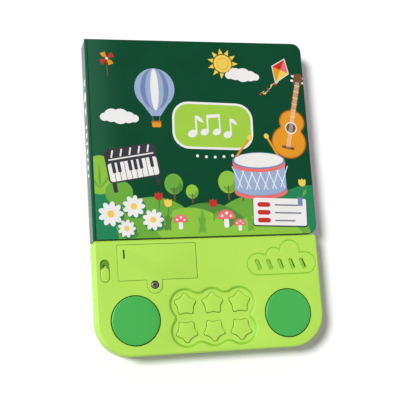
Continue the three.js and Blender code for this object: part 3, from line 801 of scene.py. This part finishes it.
def daisy_print(u, v, r):
    for angle in range(0, 360, 40):
        c, s = math.cos(math.radians(angle)), math.sin(math.radians(angle))
        ink("white", ellipse(u + c * r * 0.62, v + s * r * 0.62, r * 0.42, r * 0.24, angle, 20))
    ink("yellow", ellipse(u, v, r * 0.3, r * 0.3, 0, 24))


def mushroom_print(u, v, s):
    ink("white", panel(u, v - 3.2 * s, 3.4 * s, 6.5 * s, 1.4 * s))
    ink("pink", [(u + 6 * s * x, v + 5.5 * s * max(y, -0.12)) for x, y in circle(0, 0, 1, 36)])
    for x, y, r in ((-2.8, 1.4, 0.9), (0.4, 3.2, 1.0), (3.1, 1.2, 0.8)):
        ink("white", ellipse(u + x * s, v + y * s, r * s, r * s, 0, 16))


def tulip_print(u, v, tall, colour):
    ink("olive", panel(u, v - tall / 2, 0.9, tall, 0.3))
    ink("mid", leaf(u, v - tall * 0.9, tall * 0.7, 2.6, 62))
    for turn in (-24, 24, 0):
        ink(colour, leaf(u, v - 1.2, 7.5, 4.2, 90 + turn))


# Hills and bushes along the lower edge
ink("teal", ellipse(4, 6, 40, 38))
ink("teal", ellipse(196, 8, 42, 36))
ink("mid", ellipse(52, -6, 44, 42))
ink("mid", ellipse(146, -10, 50, 46))
ink("olive", ellipse(100, -16, 46, 46))
for u, v, r, crown, shade in ((72, 47, 8.2, "mid", "olive"), (88, 40, 5.6, "light", "mid"),
                              (121, 48, 9.0, "light", "mid"), (134, 42, 6.2, "mid", "olive")):
    tree_print(u, v, r, crown, shade)
ink("light", ellipse(84, -18, 44, 44))
ink("mid", ellipse(24, -20, 40, 40))
ink("light", ellipse(150, -24, 46, 42))
ink("light", ellipse(8, 56, 14, 17))
for angle in (52, 90, 128):
    ink("mid", leaf(8, 44, 22, 2.0, angle))
ink("mid", ellipse(24, 40, 12, 11))
ink("teal", ellipse(0, 0, 22, 24))
for u, v, long, angle in ((62, 6, 15, 62), (64, 6, 19, 84), (67, 6, 16, 108),
                          (92, 3, 17, 66), (95, 3, 22, 88), (98, 3, 17, 112),
                          (136, 4, 13, 60), (138, 4, 17, 86), (141, 4, 14, 110)):
    ink("olive" if u < 90 else "mid", leaf(u, v, long, 4.2, angle))

# Striped balloon and cloud
cloud_print(27, 108, 0.95)
ink("blue", ellipse(60, 133, 18, 18.5))
ink("blue", [(45.5, 123), (74.5, 123), (64, 108), (56, 108)])
ink("navy", ellipse(60, 132.5, 12.6, 18.9))
ink("blue", ellipse(60, 132.5, 8.2, 19))
ink("white", ellipse(60, 132.2, 3.6, 19.1))
ink("grey", panel(57, 105.4, 0.5, 6, 0.1, 8))
ink("grey", panel(63, 105.4, 0.5, 6, 0.1, -8))
ink("orange", panel(60, 100.6, 8, 5.6, 1.3))
ink("rust", panel(60, 102.8, 9, 1.4, 0.5))

# Plaque with notes
ink("white", panel(111, 99, 74, 43, 15, -2))
ink("plaque", panel(111, 99, 70, 39, 13, -2))
for u, v, s in ((92, 92, 1.0), (124, 91, 0.9)):
    ink("white", ellipse(u, v, 4.4 * s, 3.3 * s, 22))
    ink("white", panel(u + 3.6 * s, v + 8 * s, 1.5 * s, 16 * s, 0.4))
    ink("white", leaf(u + 3.4 * s, v + 16.4 * s, 10 * s, 3.4 * s, -42))
for u in (103, 114):
    ink("white", ellipse(u, 93.4, 3.9, 2.9, 22))
    ink("white", panel(u + 3.1, 101, 1.4, 15.4, 0.4))
ink("white", turned([(0, -1.5), (12.4, -0.6), (12.4, 2.4), (0, 1.5)], 105.4, 107.6))
for i in range(5):
    ink("white", ellipse(95 + 8 * i, 71.8 - 1.2 * math.sin(math.pi * i / 4), 1.3, 1.3, 0, 16))

# Sun behind a cloud, kite, pinwheel
for i in range(11):
    ink("yellow", turned([(9.2, -2.1), (14.4, 0), (9.2, 2.1)], 124, 157, 360 * i / 11))
ink("yellow", ellipse(124, 157, 8.4, 8.4))
ink("orange", ellipse(124, 157, 5.6, 5.6))
ink("yellow", ellipse(124, 157, 5.0, 5.0))
cloud_print(141, 147, 0.9)
kite = [(0, 12), (-8, 1), (0, -12), (8, 1)]
ink("white", turned([(x * 1.12, y * 1.1) for x, y in kite], 178, 151, -24))
for colour, spots in (("red", (0, 1)), ("orange", (1, 2)), ("yellow", (2, 3)), ("pink", (3, 0))):
    ink(colour, turned([(0, 1)] + [kite[k] for k in spots], 178, 151, -24))
for i in range(5):
    u, v = 172.4 - 3.6 * i, 138 - 2.4 * i + 1.5 * math.sin(i * 1.7)
    ink("white", panel(u + 1.6, v + 1.3, 4.6, 0.4, 0.1, 35))
    ink(("red", "yellow")[i % 2], ellipse(u, v, 1.7, 0.8, 60 * i, 14))
ink("brown", panel(19, 152, 0.9, 16, 0.3))
for i in range(4):
    ink(("red", "orange")[i % 2], turned([(0, 0), (6.4, 0), (5.6, 4.8), (2.8, 3.6)], 19, 160, 90 * i + 12))
ink("white", ellipse(19, 160, 1.1, 1.1, 0, 16))


def guitar(colour, points):
    ink(colour, turned(points, 181, 84, -13))


# Small guitar
guitar("rust", rounded(-2.6, 18, 2.6, 58, [0.5] * 4, 4))
guitar("brown", rounded(-4.2, 55, 4.2, 66, [2] * 4, 4))
for y in (58.2, 62.6):
    for x in (-5.4, 5.4):
        guitar("white", ellipse(x, y, 1.5, 1.1, 0, 14))
guitar("rust", ellipse(0, 0, 16.4, 15.4))
guitar("rust", ellipse(0, 19, 12.2, 11.4))
guitar("orange", ellipse(0, 0, 15.2, 14.2))
guitar("orange", ellipse(0, 19, 11, 10.2))
guitar("orange", rounded(-9.4, 3, 9.4, 17, [2] * 4, 4))
guitar("white", ellipse(0, 13.4, 5.6, 5.6))
guitar("brown", ellipse(0, 13.4, 4.6, 4.6))
guitar("brown", rounded(-6, -6.6, 6, -4.2, [1] * 4, 4))
for y in range(24, 56, 6):
    guitar("yellow", rounded(-2.6, y, 2.6, y + 0.7, [0.1] * 4, 2))
for x in (-1.5, -0.5, 0.5, 1.5):
    guitar("white", rounded(x - 0.14, -5.4, x + 0.14, 58, [0.05] * 4, 2))

# Drum with its sticks
for u, angle in ((136, 52), (166, 118)):
    c, s = math.cos(math.radians(angle)), math.sin(math.radians(angle))
    ink("orange", panel(u, 78, 26, 1.9, 0.9, angle))
    ink("yellow", ellipse(u + 13 * c, 78 + 13 * s, 2.6, 2.2, angle, 20))
ink("navy", ellipse(151, 42, 24, 7.4))
ink("blue", [(127, 42), (175, 42), (175, 66), (127, 66)])
ink("blue", ellipse(151, 42.6, 24, 7))
for i in range(6):
    u = 127.6 + 8 * i
    ink("white", panel(u + 2, 52.6 - 2.6 * math.sin(math.pi * (i + 0.25) / 6), 0.8, 21, 0.3, 22))
    ink("white", panel(u + 6, 52.6 - 2.6 * math.sin(math.pi * (i + 0.75) / 6), 0.8, 21, 0.3, -22))
for v, tall in ((38.8, 3.4), (63.4, 3.2)):
    rim = [(151 + x, v + y * 7 / 24.6) for x, y in arc(0, 0, 24.6, 180, 360, 24)]
    ink("pink", rim + [(x, y + tall) for x, y in reversed(rim)])
ink("navy", ellipse(151, 67, 24.6, 7.6))
ink("white", ellipse(151, 67.4, 23, 6.7))


def piano(colour, points):
    ink(colour, turned(points, 37, 64, 9))


# Toy piano
piano("ink", rounded(-23, -13, 23, 17, [4, 4, 6, 6], 6))
piano("white", rounded(-21.6, -11.6, 21.6, 4.6, [2] * 4, 4))
for i in range(1, 9):
    x = -21.6 + 4.8 * i
    piano("ink", rounded(x - 0.25, -11.6, x + 0.25, 4.6, [0.1] * 4, 2))
for i in (1, 2, 4, 5, 6, 8):
    x = -21.6 + 4.8 * i
    piano("ink", rounded(x - 1.5, -4.2, x + 1.5, 4.6, [0.5] * 4, 3))
piano("white", rounded(-20, 7.2, 20, 8.4, [0.4] * 4, 3))
for i in range(5):
    piano("white", turned(rounded(-0.7, -3.4, 0.7, 3.4, [0.5] * 4, 3), -16 + 8 * i, 12.6, -20))
for x in (-19, 19):
    piano("ink", rounded(x - 1.8, -21, x + 1.8, -12, [0.8] * 4, 3))

# Flowers, toadstools and a blank card with marks
for u, v, tall, colour in ((58, 34, 12, "red"), (66, 28, 10, "yellow"),
                           (106, 27, 13, "red"), (190, 44, 11, "yellow")):
    tulip_print(u, v, tall, colour)
for u, v, r in ((16, 22, 10.5), (36, 28, 9.5), (52, 16, 9), (29, 9, 7.5)):
    ink("olive", leaf(u + 3, v - r, r * 1.1, 3.6, 24))
    ink("teal", ellipse(u + 0.8, v - 1.2, r, r * 0.96))
    daisy_print(u, v, r)
for u, v, s in ((76, 14, 1.1), (117, 16, 1.35), (129, 10, 0.9)):
    mushroom_print(u, v, s)
ink("ink", panel(167, 19.4, 50.6, 25, 2.2, -2.5))
ink("white", panel(167, 20.2, 49.4, 24.4, 2, -2.5))
for i, long in enumerate((22, 25, 19)):
    ink("red", turned(rounded(-21, 5.0 - 7 * i, -9, 9.2 - 7 * i, [2] * 4, 4), 167, 19.4, -2.5))
    ink("grey", turned(rounded(-5, 6.3 - 7 * i, -5 + long, 7.7 - 7 * i, [0.5] * 4, 3), 167, 19.4, -2.5))
ink("navy", turned([(17, 6), (21.4, 6), (21.4, 14), (17, 14)], 167, 20, -2.5))

for colour, shapes in printed.items():
    bm = bmesh.new()
    for shape, z in shapes:
        face = bm.faces.new([bm.verts.new((x * MM, y * MM, z * MM)) for x, y in shape])
        face.normal_update()
        if face.normal.z < 0:
            face.normal_flip()
    tone = srgb(*INKS[colour])
    print_finish[colour] = finish("print_" + colour, tone, 0.5, scale=1400, shift=0.03, bump=0.02, spec=0.2)
    sheet = settle("print_" + colour, bm, print_finish[colour])
    show(sheet, "cover")


def star_mark(v, size):
    """A five pointed mark on the spine, as length and height."""
    points = []
    for k in range(10):
        a, reach = math.pi * k / 5, size * (0.45 if k % 2 else 1)
        points.append((v + reach * math.cos(a), 11.2 + 1.3 * reach * math.sin(a)))
    return points


# Marks down the spine, in place of lettering
SPINE_PRINT = -99.706
spine_shapes = [star_mark(141, 5), ellipse(128, 11.2, 4.6, 6.4, 0, 28), star_mark(115.5, 5)]
for k in range(7):
    v = 101 - 7.2 * k
    spine_shapes.append(ellipse(v, 11.2, 2.3, 4.2, 0, 20) if k % 2 else panel(v, 11.2, 2.6, 8.6, 1.1, 16))
bm = bmesh.new()
for mark in spine_shapes:
    face = bm.faces.new([bm.verts.new((SPINE_PRINT * MM, (BOOK_LOW + y) * MM, z * MM)) for y, z in mark])
    face.normal_update()
    if face.normal.x > 0:
        face.normal_flip()
marks = settle("spine_marks", bm, print_finish["white"])
show(marks, "body")


# Camera, light and ground

scene = bpy.context.scene
# The camera is fitted to the corners, the spine, the buttons and the stars of the picture
camera_data = bpy.data.cameras.new("camera")
camera_data.lens = 81.67
camera_data.sensor_width = 36
camera_data.clip_start = 0.01
camera = bpy.data.objects.new("camera", camera_data)
camera.matrix_world = Matrix((
    (0.967969, 0.019745, -0.250292, -0.20284),
    (-0.066566, 0.981410, -0.180010, -0.14926),
    (0.242085, 0.190905, 0.951289, 0.77401),
    (0, 0, 0, 1),
))
scene.collection.objects.link(camera)
scene.camera = camera

# A broad lamp from the upper left
key_data = bpy.data.lights.new("key", "SUN")
key_data.angle = 0.28
key_data.energy = 3.05
key = bpy.data.objects.new("key", key_data)
key.rotation_euler = Vector((0.72, -0.27, -1)).to_track_quat("-Z", "Y").to_euler()
scene.collection.objects.link(key)

# The world is white where it is seen and dimmer where it lights
world = bpy.data.worlds.new("world")
scene.world = world
world.use_nodes = True
wn, wl = world.node_tree.nodes, world.node_tree.links.new
wn.clear()
out = wn.new("ShaderNodeOutputWorld")
seen = wn.new("ShaderNodeBackground")
seen.inputs["Color"].default_value = (1, 1, 1, 1)
seen.inputs["Strength"].default_value = 1.0
lit = wn.new("ShaderNodeBackground")
lit.inputs["Color"].default_value = (1, 0.93, 1, 1)
lit.inputs["Strength"].default_value = 0.24
mix = wn.new("ShaderNodeMixShader")
ray = wn.new("ShaderNodeLightPath")
either = wn.new("ShaderNodeMath")
either.operation = "MAXIMUM"
wl(ray.outputs["Is Camera Ray"], either.inputs[0])
wl(ray.outputs["Is Glossy Ray"], either.inputs[1])
either_glass = wn.new("ShaderNodeMath")
either_glass.operation = "MAXIMUM"
wl(either.outputs["Value"], either_glass.inputs[0])
wl(ray.outputs["Is Transmission Ray"], either_glass.inputs[1])
wl(either_glass.outputs["Value"], mix.inputs["Fac"])
wl(lit.outputs["Background"], mix.inputs[1])
wl(seen.outputs["Background"], mix.inputs[2])
wl(mix.outputs["Shader"], out.inputs["Surface"])

bm = bmesh.new()
bmesh.ops.create_grid(bm, x_segments=1, y_segments=1, size=30)
floor_paint = finish("floor", (0.96, 0.96, 0.96, 1), 0.9, shift=0.005, bump=0.0, spec=0.0)
fn, fl = floor_paint.node_tree.nodes, floor_paint.node_tree.links.new
look = fn.new("ShaderNodeLightPath")
lift = fn.new("ShaderNodeMath")
lift.operation = "MULTIPLY"
lift.inputs[1].default_value = 0.05
fl(look.outputs["Is Camera Ray"], lift.inputs[0])
fl(lift.outputs["Value"], fn["Principled BSDF"].inputs["Emission Strength"])
fn["Principled BSDF"].inputs["Emission Color"].default_value = (1, 1, 1, 1)
floor = settle("floor", bm, floor_paint)
floor.location.z = -0.0002

scene.view_settings.view_transform = "Standard"
